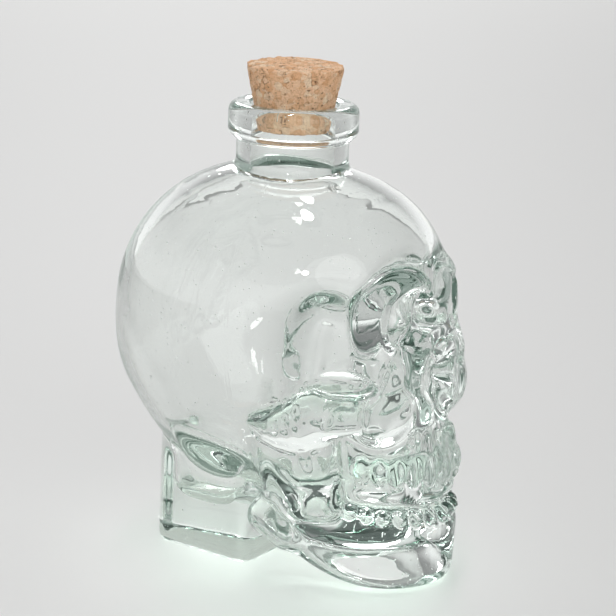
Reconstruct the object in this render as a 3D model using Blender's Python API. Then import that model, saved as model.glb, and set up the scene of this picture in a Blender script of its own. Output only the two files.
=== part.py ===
"""Skull decanter: a moulded bottle of clear glass in the form of a human skull, closed by a tapered cork.

The bottle is one piece of glass. Its outside is built up like clay: eggs and rounded bars of a plan of the
head are blocked out, fused, and settled onto the smooth form that they blend into. Its hollow grows from a
small seed until it meets the same form a wall thickness further in, and stops above a thick floor, as glass
blown into a mould does.
The neck is turned, and the cork is a cone that wedges on the rounded edge of the mouth.

The head faces -Y, +Z is up, and the origin is the middle of the bottle's box on the ground.
"""

import math

import bmesh
import bpy
import numpy as np
from mathutils import Matrix, Vector

MM = 0.001

# Driving sizes, in millimetres
HEAD_WIDTH = 70.0
HEAD_LENGTH = 92.0
HEAD_HEIGHT = 99.0
WALL = 3.2
LOW_WALL = 5.2
FLOOR = 11.0
JAW_FLOOR = 17.0
NECK_RADIUS = 13.8
NECK_RISE = 15.0
BORE_RADIUS = 10.3
LIP_RADIUS = 16.0
LIP_HEIGHT = 8.4
LIP_ROUNDING = 2.2
MOUTH_ROUNDING = 1.5
NECK_FILLET = 4.5
NECK_ROOT_DEPTH = 9.0
NECK_FLARE_DEGREES = 50.0
LIP_CORNER = 0.8
SHOULDER_ROUNDING = 6.0
SHOULDER_DEGREES = 45.0
MOUTH_DEGREES = 70.0
CORK_RADIUS = 12.1
CORK_LENGTH = 15.8
CORK_TAPER_DEGREES = 11.0
CORK_EDGE = 0.5
CORK_CLEARANCE = 0.3

# How finely the glass is faceted
BLOCK_VOXEL = 1.6
FORM_VOXEL = 0.95
HOLLOW_VOXEL = 1.8
OUTSIDE_TRIANGLES = 5600
HOLLOW_TRIANGLES = 1700
TURNED_SIDES = 40
GROWTH_PASSES = (6, 6, 4)
CURVE_POINTS = 200
SLOPE_STEP = 0.05
NEARBY = 14.0

# The plan of the head is drawn for these sizes, and is stretched to the real ones
PLAN_SIZE = Vector((70.0, 92.0, 99.0))
PLAN = np.array([HEAD_WIDTH, HEAD_LENGTH, HEAD_HEIGHT]) / np.array(PLAN_SIZE)
GIRTH = float(np.prod(PLAN)) ** (1 / 3)
SOFT_MIDDLE = 0.5
SOFT_GROUND = 0.8

# Where the wall thickens and where the floor rises, on the plan, and how softly the hollow is rounded
LOW_WALL_FROM = 34.0
LOW_WALL_TO = 20.0
JAW_FLOOR_FROM = -2.0
JAW_FLOOR_TO = -16.0
LUMP_SOFTNESS = 2.0
RECESS_SOFTNESS = 5.0
OPENING_SOFTNESS = 3.0
FLOOR_SOFTNESS = 4.0


def on_plan(point):
    """A point or a set of radii of the plan, in real millimetres."""
    return np.array(point, float) * PLAN


class Egg:
    """An ellipsoid of the plan, turned about X and then about Z by the angles of turn, in degrees."""

    def __init__(self, centre, radii, blend, turn=(0.0, 0.0, 0.0)):
        self.centre = on_plan(centre)
        self.radii = on_plan(radii)
        self.blend = blend * GIRTH
        angles = [math.radians(a) for a in turn]
        spin = Matrix.Rotation(angles[2], 3, "Z") @ Matrix.Rotation(angles[1], 3, "Y")
        self.axes = np.array(spin @ Matrix.Rotation(angles[0], 3, "X"))
        self.reach = float(self.radii.max())

    def distance(self, points):
        local = (points - self.centre) @ self.axes
        scaled = np.linalg.norm(local / self.radii, axis=1)
        slope = np.linalg.norm(local / self.radii**2, axis=1)
        return scaled * (scaled - 1.0) / np.maximum(slope, 1e-9)

    def middle(self):
        return self.centre

    def block_out(self, bm):
        for side in (1, -1) if self.centre[0] else (1,):
            place = Matrix.LocRotScale(
                Vector(self.centre) * MM, Matrix(self.axes.tolist()), Vector(self.radii) * MM
            )
            mirror = Matrix.Diagonal((side, 1, 1, 1))
            bmesh.ops.create_icosphere(bm, subdivisions=3, radius=1.0, matrix=mirror @ place)


def rounded_path(stations, between=3):
    """More stations along a smooth curve through the given ones, each of them (x, y, z, radius)."""
    ends = [2 * stations[0] - stations[1], *stations, 2 * stations[-1] - stations[-2]]
    path = []
    for a, b, c, d in zip(ends, ends[1:], ends[2:], ends[3:]):
        for i in range(between):
            t = i / between
            bend = (2 * a - 5 * b + 4 * c - d) * t**2 + (3 * b - a - 3 * c + d) * t**3
            path.append(b + 0.5 * ((c - a) * t + bend))
    return [*path, stations[-1]]


class Bar:
    """A rounded bar of the plan through points, with its own radius at each."""

    def __init__(self, points, radii, blend):
        stations = [np.array([*on_plan(p), r * GIRTH]) for p, r in zip(points, radii)]
        if 2 < len(stations) < 6:
            stations = rounded_path(stations)
        self.points = [s[:3] for s in stations]
        self.radii = [s[3] for s in stations]
        self.blend = blend * GIRTH
        ends = np.array(self.points)
        self.centre = (ends.min(0) + ends.max(0)) / 2
        self.reach = float(np.linalg.norm(ends - self.centre, axis=1).max()) + max(self.radii)

    def distance(self, points):
        nearest = np.full(len(points), np.inf)
        legs = zip(self.points, self.points[1:], self.radii, self.radii[1:])
        for start, end, first, last in legs:
            along = end - start
            share = np.clip((points - start) @ along / (along @ along), 0.0, 1.0)
            off = np.linalg.norm(points - start - share[:, None] * along, axis=1)
            nearest = np.minimum(nearest, off - (first + share * (last - first)))
        return nearest

    def middle(self):
        return self.centre

    def block_out(self, bm):
        balls = [(self.points[0], self.radii[0])]
        for start, end, first, last in zip(self.points, self.points[1:], self.radii, self.radii[1:]):
            steps = max(1, round(np.linalg.norm(end - start) / min(first, last)))
            for i in range(1, steps + 1):
                share = i / steps
                balls.append((start + share * (end - start), first + share * (last - first)))
        for side in (1, -1):
            for centre, radius in balls:
                place = Matrix.Translation(Vector((side * centre[0], centre[1], centre[2])) * MM)
                bmesh.ops.create_icosphere(bm, subdivisions=1, radius=radius * MM, matrix=place)


class Block:
    """A box of the plan with rounded edges, turned as an egg is."""

    def __init__(self, centre, half, rounding, blend, turn=(0.0, 0.0, 0.0)):
        self.egg = Egg(centre, half, blend, turn)
        self.half = on_plan(half)
        self.rounding = rounding * GIRTH
        self.blend = self.egg.blend
        self.reach = float(np.linalg.norm(self.half))

    def distance(self, points):
        local = (points - self.egg.centre) @ self.egg.axes
        off = np.abs(local) - (self.half - self.rounding)
        outside = np.linalg.norm(np.maximum(off, 0.0), axis=1)
        return outside + np.minimum(off.max(1), 0.0) - self.rounding

    def middle(self):
        return self.egg.centre

    def block_out(self, bm):
        self.egg.block_out(bm)


class Foot:
    """The block under the back of the head: a wedge in plan, narrow behind, with rounded corners."""

    def __init__(self, back, front, top, back_half, front_half, rounding, blend):
        self.back, self.front = back * PLAN[1], front * PLAN[1]
        self.top = top * PLAN[2]
        self.back_half, self.front_half = back_half * PLAN[0], front_half * PLAN[0]
        self.rounding = rounding * GIRTH
        self.blend = blend * GIRTH
        self.centre = np.array([0.0, (self.back + self.front) / 2, self.top / 2])
        self.reach = float(np.hypot(self.back - self.front, self.top)) / 2 + self.front_half

    def half_width(self, y):
        share = np.clip((y - self.front) / (self.back - self.front), 0.0, 1.0)
        return self.front_half + share * (self.back_half - self.front_half)

    def distance(self, points):
        inset = self.rounding
        half = np.array([0.0, (self.back - self.front) / 2, self.top])
        off = np.empty_like(points)
        off[:, 0] = np.abs(points[:, 0]) - (self.half_width(points[:, 1]) - inset)
        off[:, 1] = np.abs(points[:, 1] - self.centre[1]) - (half[1] - inset)
        off[:, 2] = np.abs(points[:, 2]) - (half[2] - inset)
        outside = np.linalg.norm(np.maximum(off, 0.0), axis=1)
        return outside + np.minimum(off.max(1), 0.0) - inset

    def middle(self):
        return self.centre

    def block_out(self, bm):
        made = bmesh.ops.create_cube(bm, size=1.0)["verts"]
        for vert in made:
            y = self.back if vert.co.y > 0 else self.front
            x = math.copysign(float(self.half_width(y)), vert.co.x)
            z = self.top if vert.co.z > 0 else 0.0
            vert.co = Vector((x, y, z)) * MM


def smooth_min(a, b, blend):
    if blend <= 0:
        return np.minimum(a, b)
    share = np.clip(0.5 + 0.5 * (b - a) / blend, 0.0, 1.0)
    return b + (a - b) * share - blend * share * (1.0 - share)


def smooth_max(a, b, blend):
    return -smooth_min(-a, -b, blend)


def jaw_curve(half_width, front, depth, low, rise, points=8):
    """Points along half a jaw: a quarter of an ellipse from the middle to the back, where it climbs."""
    row = []
    for i in range(points + 1):
        angle = math.radians(90 * i / points)
        back = 1 - math.cos(angle)
        row.append((half_width * math.sin(angle), front + depth * back, low + rise * back**2))
    return row


def tooth_row(count, curve, thickness, height, blend):
    """Egg-shaped teeth side by side along a jaw curve, from the middle to the back."""
    curve = [np.array(p) for p in curve]
    runs = np.cumsum([0] + [np.linalg.norm(b - a) for a, b in zip(curve, curve[1:])])
    pitch = runs[-1] / count
    row = []
    for i in range(count):
        at = int(np.searchsorted(runs, (i + 0.5) * pitch))
        way = curve[min(at + 1, len(curve) - 1)] - curve[at - 1]
        heading = math.degrees(math.atan2(way[1], way[0]))
        row.append(Egg(curve[at], (pitch * 0.5, thickness, height / 2), blend, (0, 0, heading)))
    return row


# The plan of the head. X is given for one side, and both sides get it.
CRANIUM = [
    Egg((0, 3.0, 62), (34.5, 40.6, 37.2), 0),
    Egg((0, -12.5, 72), (27.5, 28, 25.5), 8),
    Egg((9, 6, 66), (22.5, 29, 29.5), 9),
    Egg((0, 24, 51), (22, 17.8, 20), 7),
]
SKULL_BASE = Egg((0, 2, 36), (25, 29, 18), 10)
FACE = Egg((0, -22, 54), (24, 17, 22), 6)
JAWS = [
    Egg((0, -29, 35), (16, 15, 13), 6),
    Egg((0, -21, 19), (17, 21, 13), 6),
    Egg((0, -15, 31), (24.5, 15, 17), 5),
]
MASSES = [*CRANIUM, SKULL_BASE, FACE, *JAWS]
# The hollow grows out of these, which lie well inside it
SEEDS = [Egg((0, 6, 62), (24, 28, 26), 0), Egg((0, 1, 36), (13, 19, 15), 0)]
FOOT = Foot(30.5, -1.5, 30, 11, 17, 4, 3.0)
RECESSES = [
    # Temples: a steep step in from the side of the cranium, and a slope up to the end of the brow
    Block((35.8, -29.3, 56.5), (11.5, 11, 9.5), 2.6, 0.8, (10, 0, -6)),
    Egg((35.6, -30, 64), (11.6, 12, 9), 1.2, (-12, 0, -6)),
    # Between the arch and the upper teeth
    Egg((31, -36, 34), (10.5, 9.5, 8), 2),
    # Between the foot and the jaw
    Bar([(0, -6, 4), (30, -6, 6)], [5.5, 7.0], 3),
]
FEATURES = [
    # Brow ridges and the space between them
    Bar([(3, -37.3, 73), (10, -36.8, 74.2), (15.6, -34.3, 73.8), (19.4, -32.2, 70.5)], [3.8, 3.5, 3.0, 3.0], 4),
    Egg((0, -37, 73), (6, 5.5, 5.5), 4),
    # Side rims of the sockets, down to the cheekbones
    Bar([(19.6, -32.2, 71), (20.2, -33, 65), (19.5, -34.5, 56)], [3.2, 3.2, 4.0], 3),
    # Cheeks, and the cheekbones' way back to the arches
    Egg((15.5, -34.6, 46), (8.8, 7.2, 8.4), 5),
    Bar([(8.5, -37.3, 57.5), (14, -36.4, 56), (20, -34, 54)], [3.0, 3.4, 4.0], 4),
    # Zygomatic arches, from the cheekbones back to the ears
    Bar([(22, -33.5, 46.4), (27.6, -27.5, 45), (30.4, -18, 43.6), (31, -8, 43.8)], [4.6, 4.2, 4.0, 2.4], 2.4),
    # Nasal bones
    Bar([(0, -38, 71), (0, -43.0, 61)], [3.2, 3.2], 3),
    # Sides of the nasal opening, down into the upper jaw
    Bar([(5, -38.5, 62), (8.4, -38.2, 53), (6, -40.6, 45)], [2.8, 3.0, 3.2], 5),
    # Upper jaw that bears the teeth
    Bar(jaw_curve(14.3, -42.8, 25, 31.5, 2.0), [4.2] * 9, 3),
    Bar(jaw_curve(15.2, -43.4, 25, 24.5, 1.5), [3.2] * 9, 2),
    # Lower jaw: its lower border out to the angle, and the wall of bone up to the teeth
    Bar(jaw_curve(19.2, -43.2, 24.8, 2.8, 7.0) + [(21, -13.5, 12.5), (24.2, -9.5, 17)], [3.2] * 9 + [4.4, 4.6], 2),
    Bar(jaw_curve(17.7, -41.7, 24.5, 10.4, 4.5), [4.6] * 9, 2),
    Bar(jaw_curve(17.4, -43.0, 25, 15.8, 4.0), [3.9] * 9, 2),
    # Ramus, the plate from the angle up to the arch
    Block((24.2, -17.5, 31), (4.2, 9.5, 12.5), 3.8, 5, (-10, 8, 0)),
    # Mastoid bumps behind the jaw
    Egg((25, 2, 30), (6, 7, 10), 4),
]
OPENINGS = [
    # Eye sockets
    Egg((11.2, -42, 67.6), (7.2, 13, 7.4), 1.5, (0, 14, 8)),
    # Nasal opening
    Egg((0, -46.5, 56.5), (3.4, 9, 6.4), 1.5),
    Egg((3.0, -46.5, 52.0), (3.2, 8.5, 4.0), 1.5),
    # Slots over the arches
    Egg((27.2, -29.5, 53.0), (4.2, 7.8, 2.4), 0.6, (0, 0, -13)),
]
UPPER_ROW = {"half_width": 15.5, "front": -45.6, "depth": 25.5, "low": 28.4, "rise": 1.5}
LOWER_ROW = {"half_width": 17.6, "front": -45.0, "depth": 25.5, "low": 17.4, "rise": 2.0}
TEETH = [
    *tooth_row(8, jaw_curve(**UPPER_ROW, points=CURVE_POINTS), 2.5, 8.6, 0.8),
    *tooth_row(9, jaw_curve(**LOWER_ROW, points=CURVE_POINTS), 2.4, 5.2, 0.8),
]


def add(field, pieces, points, swell=0.0):
    """Blends more pieces into a field of distances, each worked out only where it can matter."""
    for piece in pieces:
        near = np.linalg.norm(points - piece.middle(), axis=1) < piece.reach + NEARBY
        if near.any():
            field[near] = smooth_min(field[near], piece.distance(points[near]), piece.blend + swell)
    return field


def carve(field, pieces, points, swell=0.0):
    """Takes pieces out of a field of distances, each worked out only where it can matter."""
    for piece in pieces:
        near = np.linalg.norm(points - piece.middle(), axis=1) < piece.reach + NEARBY
        if near.any():
            field[near] = smooth_max(field[near], -piece.distance(points[near]), piece.blend + swell)
    return field


def one_sided(points):
    """The points with both sides of the head folded onto +X, softly, so that the middle has no crease."""
    folded = points.copy()
    folded[:, 0] = np.sqrt(points[:, 0] ** 2 + SOFT_MIDDLE**2)
    return folded


def head_form(points):
    """Distance from each point to the outside of the head, negative inside it."""
    folded = one_sided(points)
    field = add(np.full(len(points), 1e3), MASSES + [FOOT], folded)
    field = carve(field, RECESSES, folded)
    field = add(field, FEATURES, folded)
    field = carve(field, OPENINGS, folded)
    field = add(field, TEETH, folded)
    return smooth_max(field, -points[:, 2], SOFT_GROUND)


def ease(values, start, end):
    """Rises smoothly from 0 at start to 1 at end."""
    share = np.clip((values - start) / (end - start), 0.0, 1.0)
    return share * share * (3 - 2 * share)


def hollow_form(points):
    """Distance to the inside of the wall: the masses of the head a wall further in, above a thick floor."""
    folded = one_sided(points)
    field = add(np.full(len(points), 1e3), MASSES + [FOOT], folded, LUMP_SOFTNESS)
    field = carve(field, RECESSES, folded, RECESS_SOFTNESS)
    field = carve(field, OPENINGS, folded, OPENING_SOFTNESS)
    low = ease(points[:, 2], LOW_WALL_FROM * PLAN[2], LOW_WALL_TO * PLAN[2])
    field += WALL + (LOW_WALL - WALL) * low
    jaw = ease(points[:, 1], JAW_FLOOR_FROM * PLAN[1], JAW_FLOOR_TO * PLAN[1])
    floor = FLOOR + (JAW_FLOOR - FLOOR) * jaw
    return smooth_max(field, floor - points[:, 2], FLOOR_SOFTNESS)


def object_from(bm, name):
    mesh = bpy.data.meshes.new(name)
    bm.to_mesh(mesh)
    bm.free()
    obj = bpy.data.objects.new(name, mesh)
    bpy.context.scene.collection.objects.link(obj)
    return obj


def apply_modifiers(obj):
    """Replaces an object's mesh by its evaluated one."""
    graph = bpy.context.evaluated_depsgraph_get()
    mesh = bpy.data.meshes.new_from_object(obj.evaluated_get(graph))
    old = obj.data
    obj.modifiers.clear()
    obj.data = mesh
    bpy.data.meshes.remove(old)


def fuse(obj, voxel):
    """Fuses overlapping bodies into one skin of even quads."""
    remesh = obj.modifiers.new("fuse", "REMESH")
    remesh.mode = "VOXEL"
    remesh.voxel_size = voxel * MM
    apply_modifiers(obj)


def coordinates(mesh, field="co"):
    flat = np.empty(len(mesh.vertices) * 3)
    mesh.vertices.foreach_get(field, flat)
    return flat.reshape(-1, 3)


def pull_in(obj, form, passes, most=1.5):
    """Slides each vertex down the slope of a form, which brings in corners that stand far off it."""
    for _ in range(passes):
        points = coordinates(obj.data) / MM
        here = form(points)
        slope = [(form(points + SLOPE_STEP * axis) - here) / SLOPE_STEP for axis in np.eye(3)]
        slope = np.stack(slope, axis=1)
        length = np.maximum(np.linalg.norm(slope, axis=1), 0.2)
        points -= slope * (np.clip(here / length, -most, most) / length)[:, None]
        obj.data.vertices.foreach_set("co", (points * MM).ravel())
        obj.data.update()


def settle(obj, form, passes=4, most=1.5):
    """Slides each vertex in or out along its normal until it lies on a form."""
    mesh = obj.data
    for _ in range(passes):
        points = coordinates(mesh) / MM
        move = np.clip(form(points), -most, most)
        points -= coordinates(mesh, "normal") * move[:, None]
        mesh.vertices.foreach_set("co", (points * MM).ravel())
        mesh.update()


def relax(obj, form, rounds=2, most=0.5):
    """Evens out the vertices over the form they lie on."""
    for _ in range(rounds):
        bm = bmesh.new()
        bm.from_mesh(obj.data)
        bmesh.ops.smooth_vert(
            bm, verts=bm.verts, factor=0.5, use_axis_x=True, use_axis_y=True, use_axis_z=True
        )
        bm.to_mesh(obj.data)
        bm.free()
        settle(obj, form, 2, most)


def everything(bm):
    return [*bm.verts, *bm.edges, *bm.faces]


def thin_out(obj, triangles):
    """Collapses the flattest edges of one half and mirrors it, for about this many triangles in all."""
    bm = bmesh.new()
    bm.from_mesh(obj.data)
    bmesh.ops.bisect_plane(bm, geom=everything(bm), plane_co=(0, 0, 0), plane_no=(-1, 0, 0), clear_outer=True)
    faces = sum(len(f.verts) - 2 for f in bm.faces)
    bm.to_mesh(obj.data)
    bm.free()
    decimate = obj.modifiers.new("thin_out", "DECIMATE")
    decimate.ratio = min(1.0, triangles / 2 / faces)
    apply_modifiers(obj)
    bm = bmesh.new()
    bm.from_mesh(obj.data)
    for edge in bm.edges:
        if edge.is_boundary:
            for vert in edge.verts:
                vert.co.x = 0.0
    bmesh.ops.mirror(bm, geom=everything(bm), merge_dist=1e-6, axis="X")
    bmesh.ops.recalc_face_normals(bm, faces=bm.faces)
    bm.to_mesh(obj.data)
    bm.free()


def boolean(obj, other, operation):
    """Joins another closed body to this one, or cuts it out, and removes the other."""
    modifier = obj.modifiers.new(operation.lower(), "BOOLEAN")
    modifier.operation = operation
    modifier.solver = "EXACT"
    modifier.object = other
    apply_modifiers(obj)
    bpy.data.objects.remove(other)


def turned(profile, name, sides=TURNED_SIDES):
    """A body turned about Z from a profile of (radius, height) points that starts and ends on the axis."""
    bm = bmesh.new()
    verts = [bm.verts.new((r * MM, 0.0, z * MM)) for r, z in profile]
    edges = [bm.edges.new(pair) for pair in zip(verts, verts[1:])]
    bmesh.ops.spin(
        bm,
        geom=verts + edges,
        cent=(0, 0, 0),
        axis=(0, 0, 1),
        angle=math.tau,
        steps=sides,
        use_merge=True,
    )
    bmesh.ops.remove_doubles(bm, verts=bm.verts, dist=1e-6)
    bmesh.ops.recalc_face_normals(bm, faces=bm.faces)
    return object_from(bm, name)


def arc(centre, radius, start, end, steps):
    """Points of a round corner of a profile, between two angles in degrees."""
    angles = [math.radians(start + (end - start) * i / steps) for i in range(steps + 1)]
    return [(centre[0] + radius * math.cos(a), centre[1] + radius * math.sin(a)) for a in angles]


LIP_TOP = HEAD_HEIGHT + NECK_RISE


def neck_body():
    """The outside of the neck: a flare and a fillet out of the crown, the neck, and the lip."""
    root = HEAD_HEIGHT - NECK_ROOT_DEPTH
    lip_bottom = LIP_TOP - LIP_HEIGHT
    start = 270 - NECK_FLARE_DEGREES
    fillet = arc((NECK_RADIUS + NECK_FILLET, HEAD_HEIGHT + NECK_FILLET / 3), NECK_FILLET, start, 180, 4)
    flare = (fillet[0][1] - root) / math.tan(math.radians(NECK_FLARE_DEGREES))
    profile = [(0.0, root), (fillet[0][0] + flare, root)] + fillet
    profile += arc((NECK_RADIUS + LIP_CORNER, lip_bottom - LIP_CORNER), LIP_CORNER, 180, 90, 2)
    corner = LIP_RADIUS - LIP_ROUNDING
    profile += arc((corner, lip_bottom + LIP_ROUNDING), LIP_ROUNDING, 270, 360, 4)
    profile += arc((corner, LIP_TOP - LIP_ROUNDING), LIP_ROUNDING, 0, 90, 4)
    profile += [(0.0, LIP_TOP)]
    return turned(profile, "neck")


def bore_body():
    """The cutter for the bore, which widens into the hollow below, and for the mouth's rounded edge."""
    shoulder = (BORE_RADIUS + SHOULDER_ROUNDING, HEAD_HEIGHT - SHOULDER_ROUNDING / 6)
    widening = arc(shoulder, SHOULDER_ROUNDING, 180 + SHOULDER_DEGREES, 180, 3)
    low = HEAD_HEIGHT - 3 * WALL
    profile = [(0.0, low), (widening[0][0], low)] + widening
    edge = (BORE_RADIUS + MOUTH_ROUNDING, LIP_TOP - MOUTH_ROUNDING)
    profile += arc(edge, MOUTH_ROUNDING, 180, 180 - MOUTH_DEGREES, 3)
    # The cutter leaves the glass along the slope of the rounded edge
    slope = math.radians(90 - MOUTH_DEGREES)
    over = 2 * MOUTH_ROUNDING
    last = profile[-1]
    profile += [(last[0] + over * math.cos(slope), last[1] + over * math.sin(slope))]
    profile += [(0.0, profile[-1][1])]
    return turned(profile, "bore")


def blocked_out(pieces, name):
    bm = bmesh.new()
    for piece in pieces:
        piece.block_out(bm)
    return object_from(bm, name)


def bottle():
    """The glass: head and neck, less the hollow and the bore."""
    glass = blocked_out(MASSES + FEATURES + [FOOT], "skull_bottle")
    fuse(glass, BLOCK_VOXEL)
    pull_in(glass, head_form, 6)
    fuse(glass, FORM_VOXEL)
    settle(glass, head_form, 3)
    relax(glass, head_form)
    thin_out(glass, OUTSIDE_TRIANGLES)
    hollow = blocked_out(SEEDS, "hollow")
    for passes in GROWTH_PASSES:
        fuse(hollow, HOLLOW_VOXEL)
        settle(hollow, hollow_form, passes, 1.0)
    fuse(hollow, HOLLOW_VOXEL)
    relax(hollow, hollow_form, 3, 0.25)
    thin_out(hollow, HOLLOW_TRIANGLES)
    boolean(glass, neck_body(), "UNION")
    boolean(glass, hollow, "DIFFERENCE")
    boolean(glass, bore_body(), "DIFFERENCE")
    return glass


def cork_seat():
    """Height of the cork's lower end above the ground, where its cone rests on the rounded mouth."""
    taper = math.radians(CORK_TAPER_DEGREES)
    reach = MOUTH_ROUNDING + CORK_CLEARANCE
    radius = BORE_RADIUS + MOUTH_ROUNDING - reach * math.cos(taper)
    height = LIP_TOP - MOUTH_ROUNDING + reach * math.sin(taper)
    top = height + (CORK_RADIUS - radius) / math.tan(taper)
    return top - CORK_LENGTH


def cork_stopper():
    """A cone frustum, wider above, with its edges broken."""
    low = CORK_RADIUS - CORK_LENGTH * math.tan(math.radians(CORK_TAPER_DEGREES))
    bm = bmesh.new()
    middle = Matrix.Translation((0, 0, CORK_LENGTH / 2 * MM))
    bmesh.ops.create_cone(
        bm,
        cap_ends=True,
        segments=TURNED_SIDES,
        radius1=low * MM,
        radius2=CORK_RADIUS * MM,
        depth=CORK_LENGTH * MM,
        matrix=middle,
    )
    rims = [e for e in bm.edges if abs(e.verts[0].co.z - e.verts[1].co.z) < 1e-6]
    bmesh.ops.bevel(
        bm, geom=rims, offset=CORK_EDGE * MM, segments=2, profile=0.5, affect="EDGES", material=-1
    )
    obj = object_from(bm, "cork_stopper")
    obj.location.z = cork_seat() * MM
    return obj


def material(name, colour, roughness, **more):
    made = bpy.data.materials.new(name)
    made.use_nodes = True
    shader = made.node_tree.nodes["Principled BSDF"]
    shader.inputs["Base Color"].default_value = (*colour, 1.0)
    shader.inputs["Roughness"].default_value = roughness
    for socket, value in more.items():
        shader.inputs[socket.replace("_", " ")].default_value = value
    return made


def main():
    for obj in list(bpy.data.objects):
        bpy.data.objects.remove(obj)
    glass = bottle()
    glass.data.materials.append(material("clear_glass", (0.95, 0.98, 0.96), 0.02))
    stopper = cork_stopper()
    stopper.data.materials.append(material("cork", (0.72, 0.47, 0.27), 0.85))
    for obj in (glass, stopper):
        obj.data.shade_smooth()
        obj.data.set_sharp_from_angle(angle=math.radians(35))
    ys = [v.co.y for v in glass.data.vertices]
    middle = (min(ys) + max(ys)) / 2
    for obj in (glass, stopper):
        obj.location.y -= middle


main()
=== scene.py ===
# %% [markdown]
# # A skull decanter
# A small bottle of clear glass in the form of a human skull, closed by a tapered cork. The glass is pressed
# and blown in an iron mould: outside it carries every tooth and rim of the mould, inside it is smooth and a
# little wavy, and where the glass gathered, in the jaw and the foot, it is thick.
#
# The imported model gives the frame: two bodies, the bottle and the cork, and one joint along which the cork
# is pulled. Everything below is in metres in that frame, with the face towards -Y and +Z up.

# %% Load the frame
import math
import time

import bmesh
import bpy
import numpy as np
from mathutils import Euler, Matrix, Vector, noise


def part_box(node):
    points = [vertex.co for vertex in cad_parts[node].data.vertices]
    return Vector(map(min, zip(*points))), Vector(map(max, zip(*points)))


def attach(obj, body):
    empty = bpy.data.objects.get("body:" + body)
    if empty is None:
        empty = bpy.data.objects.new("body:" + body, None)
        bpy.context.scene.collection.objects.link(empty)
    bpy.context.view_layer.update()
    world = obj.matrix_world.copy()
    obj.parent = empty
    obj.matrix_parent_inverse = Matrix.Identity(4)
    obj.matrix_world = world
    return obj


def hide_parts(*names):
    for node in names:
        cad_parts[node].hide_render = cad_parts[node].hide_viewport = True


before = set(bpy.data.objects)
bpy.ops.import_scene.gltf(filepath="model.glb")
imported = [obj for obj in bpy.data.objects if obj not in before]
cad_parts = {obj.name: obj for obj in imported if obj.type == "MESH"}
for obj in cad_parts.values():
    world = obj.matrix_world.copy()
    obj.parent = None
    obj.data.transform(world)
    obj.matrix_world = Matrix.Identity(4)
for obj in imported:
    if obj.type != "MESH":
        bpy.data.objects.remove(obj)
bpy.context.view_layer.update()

MM = 0.001
noise.seed_set(7)

# %% [markdown]
# ## Landmarks
# The neck is round, so its axis is the middle of the cork's box, and the crown, the lip and the cork's seat
# are heights along it. The head's own plan is drawn in millimetres from the foot of that axis.

# %% Landmarks
NECK_RISE = 15.0
cork_low, cork_high = (Vector(corner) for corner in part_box("cork_stopper"))
neck_axis = Vector(((cork_low.x + cork_high.x) / 2, (cork_low.y + cork_high.y) / 2, 0.0))
lip_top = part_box("skull_bottle")[1][2]
PLAN_ORIGIN = np.array(neck_axis) / MM
LIP_TOP = lip_top / MM
CROWN = LIP_TOP - NECK_RISE
print("neck axis at", PLAN_ORIGIN.round(2), "lip top", round(LIP_TOP, 2), "mm")

# %% [markdown]
# ## The camera
# The camera is worked out from the photograph, as the view that fits its outline best: a long lens, 62
# degrees round from the face to the skull's right side, looking a little down. The picture is square. The
# camera is set first, because everything is judged through it.

# %% Camera
PICTURE_PIXELS = 616
FOCAL_PIXELS = 2918.0
PIXELS_ASIDE = 21.5
camera_data = bpy.data.cameras.new("camera")
camera_data.sensor_width = 36.0
camera_data.lens = FOCAL_PIXELS / PICTURE_PIXELS * camera_data.sensor_width
camera = bpy.data.objects.new("camera", camera_data)
bpy.context.scene.collection.objects.link(camera)
bpy.context.scene.camera = camera

round_from_face = math.radians(62.0)
looks_down = math.radians(14.03)
looks_aside = math.atan(PIXELS_ASIDE / (FOCAL_PIXELS * math.cos(looks_down)))
leans = math.radians(2.3)
away, height = 0.700, 0.2375
camera_place = Vector((-away * math.sin(round_from_face), -away * math.cos(round_from_face), height))
camera_place += neck_axis
heading = round_from_face + looks_aside
forward = Vector((math.sin(heading), math.cos(heading), -math.tan(looks_down))).normalized()
aim = forward.to_track_quat("-Z", "Y").to_matrix().to_4x4() @ Matrix.Rotation(leans, 4, "Z")
aim.translation = camera_place
camera.matrix_world = aim
print("camera at", [round(v, 3) for v in camera_place], "lens", round(camera_data.lens, 1), "mm")

# %% [markdown]
# ## Clay in numbers
# A skull has no profile to spin and no section to extrude, so it is modelled as a sculptor models it: lumps
# of clay are pressed onto each other, and hollows pressed in with a thumb. Here a lump is a distance,
# negative inside, and two lumps join by a smooth minimum, which fills the crease between them over a chosen
# width. The finished form then pulls a fine, even skin of faces onto itself.

# %% Lumps of clay
class Lump:
    """A distance to one lump, the ball that holds it, and how softly it joins what is already there."""

    def __init__(self, centre, reach, blend, distance):
        self.centre = np.array(centre, float)
        self.reach = reach
        self.blend = blend
        self.distance = distance


def egg(centre, radii, blend, turn=(0, 0, 0)):
    """An ellipsoid, turned by three angles in degrees."""
    middle, radii = np.array(centre, float), np.array(radii, float)
    axes = np.array(Euler([math.radians(a) for a in turn]).to_matrix())

    def distance(points):
        local = (points - middle) @ axes
        scaled = np.linalg.norm(local / radii, axis=1)
        slope = np.linalg.norm(local / radii**2, axis=1)
        return scaled * (scaled - 1.0) / np.maximum(slope, 1e-9)

    return Lump(middle, float(radii.max()), blend, distance)


def slab(centre, half, rounding, blend, turn=(0, 0, 0)):
    """A box with rounded edges, turned as an egg is."""
    middle, half = np.array(centre, float), np.array(half, float)
    axes = np.array(Euler([math.radians(a) for a in turn]).to_matrix())

    def distance(points):
        off = np.abs((points - middle) @ axes) - (half - rounding)
        outside = np.linalg.norm(np.maximum(off, 0.0), axis=1)
        return outside + np.minimum(off.max(1), 0.0) - rounding

    return Lump(middle, float(np.linalg.norm(half)), blend, distance)


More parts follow.
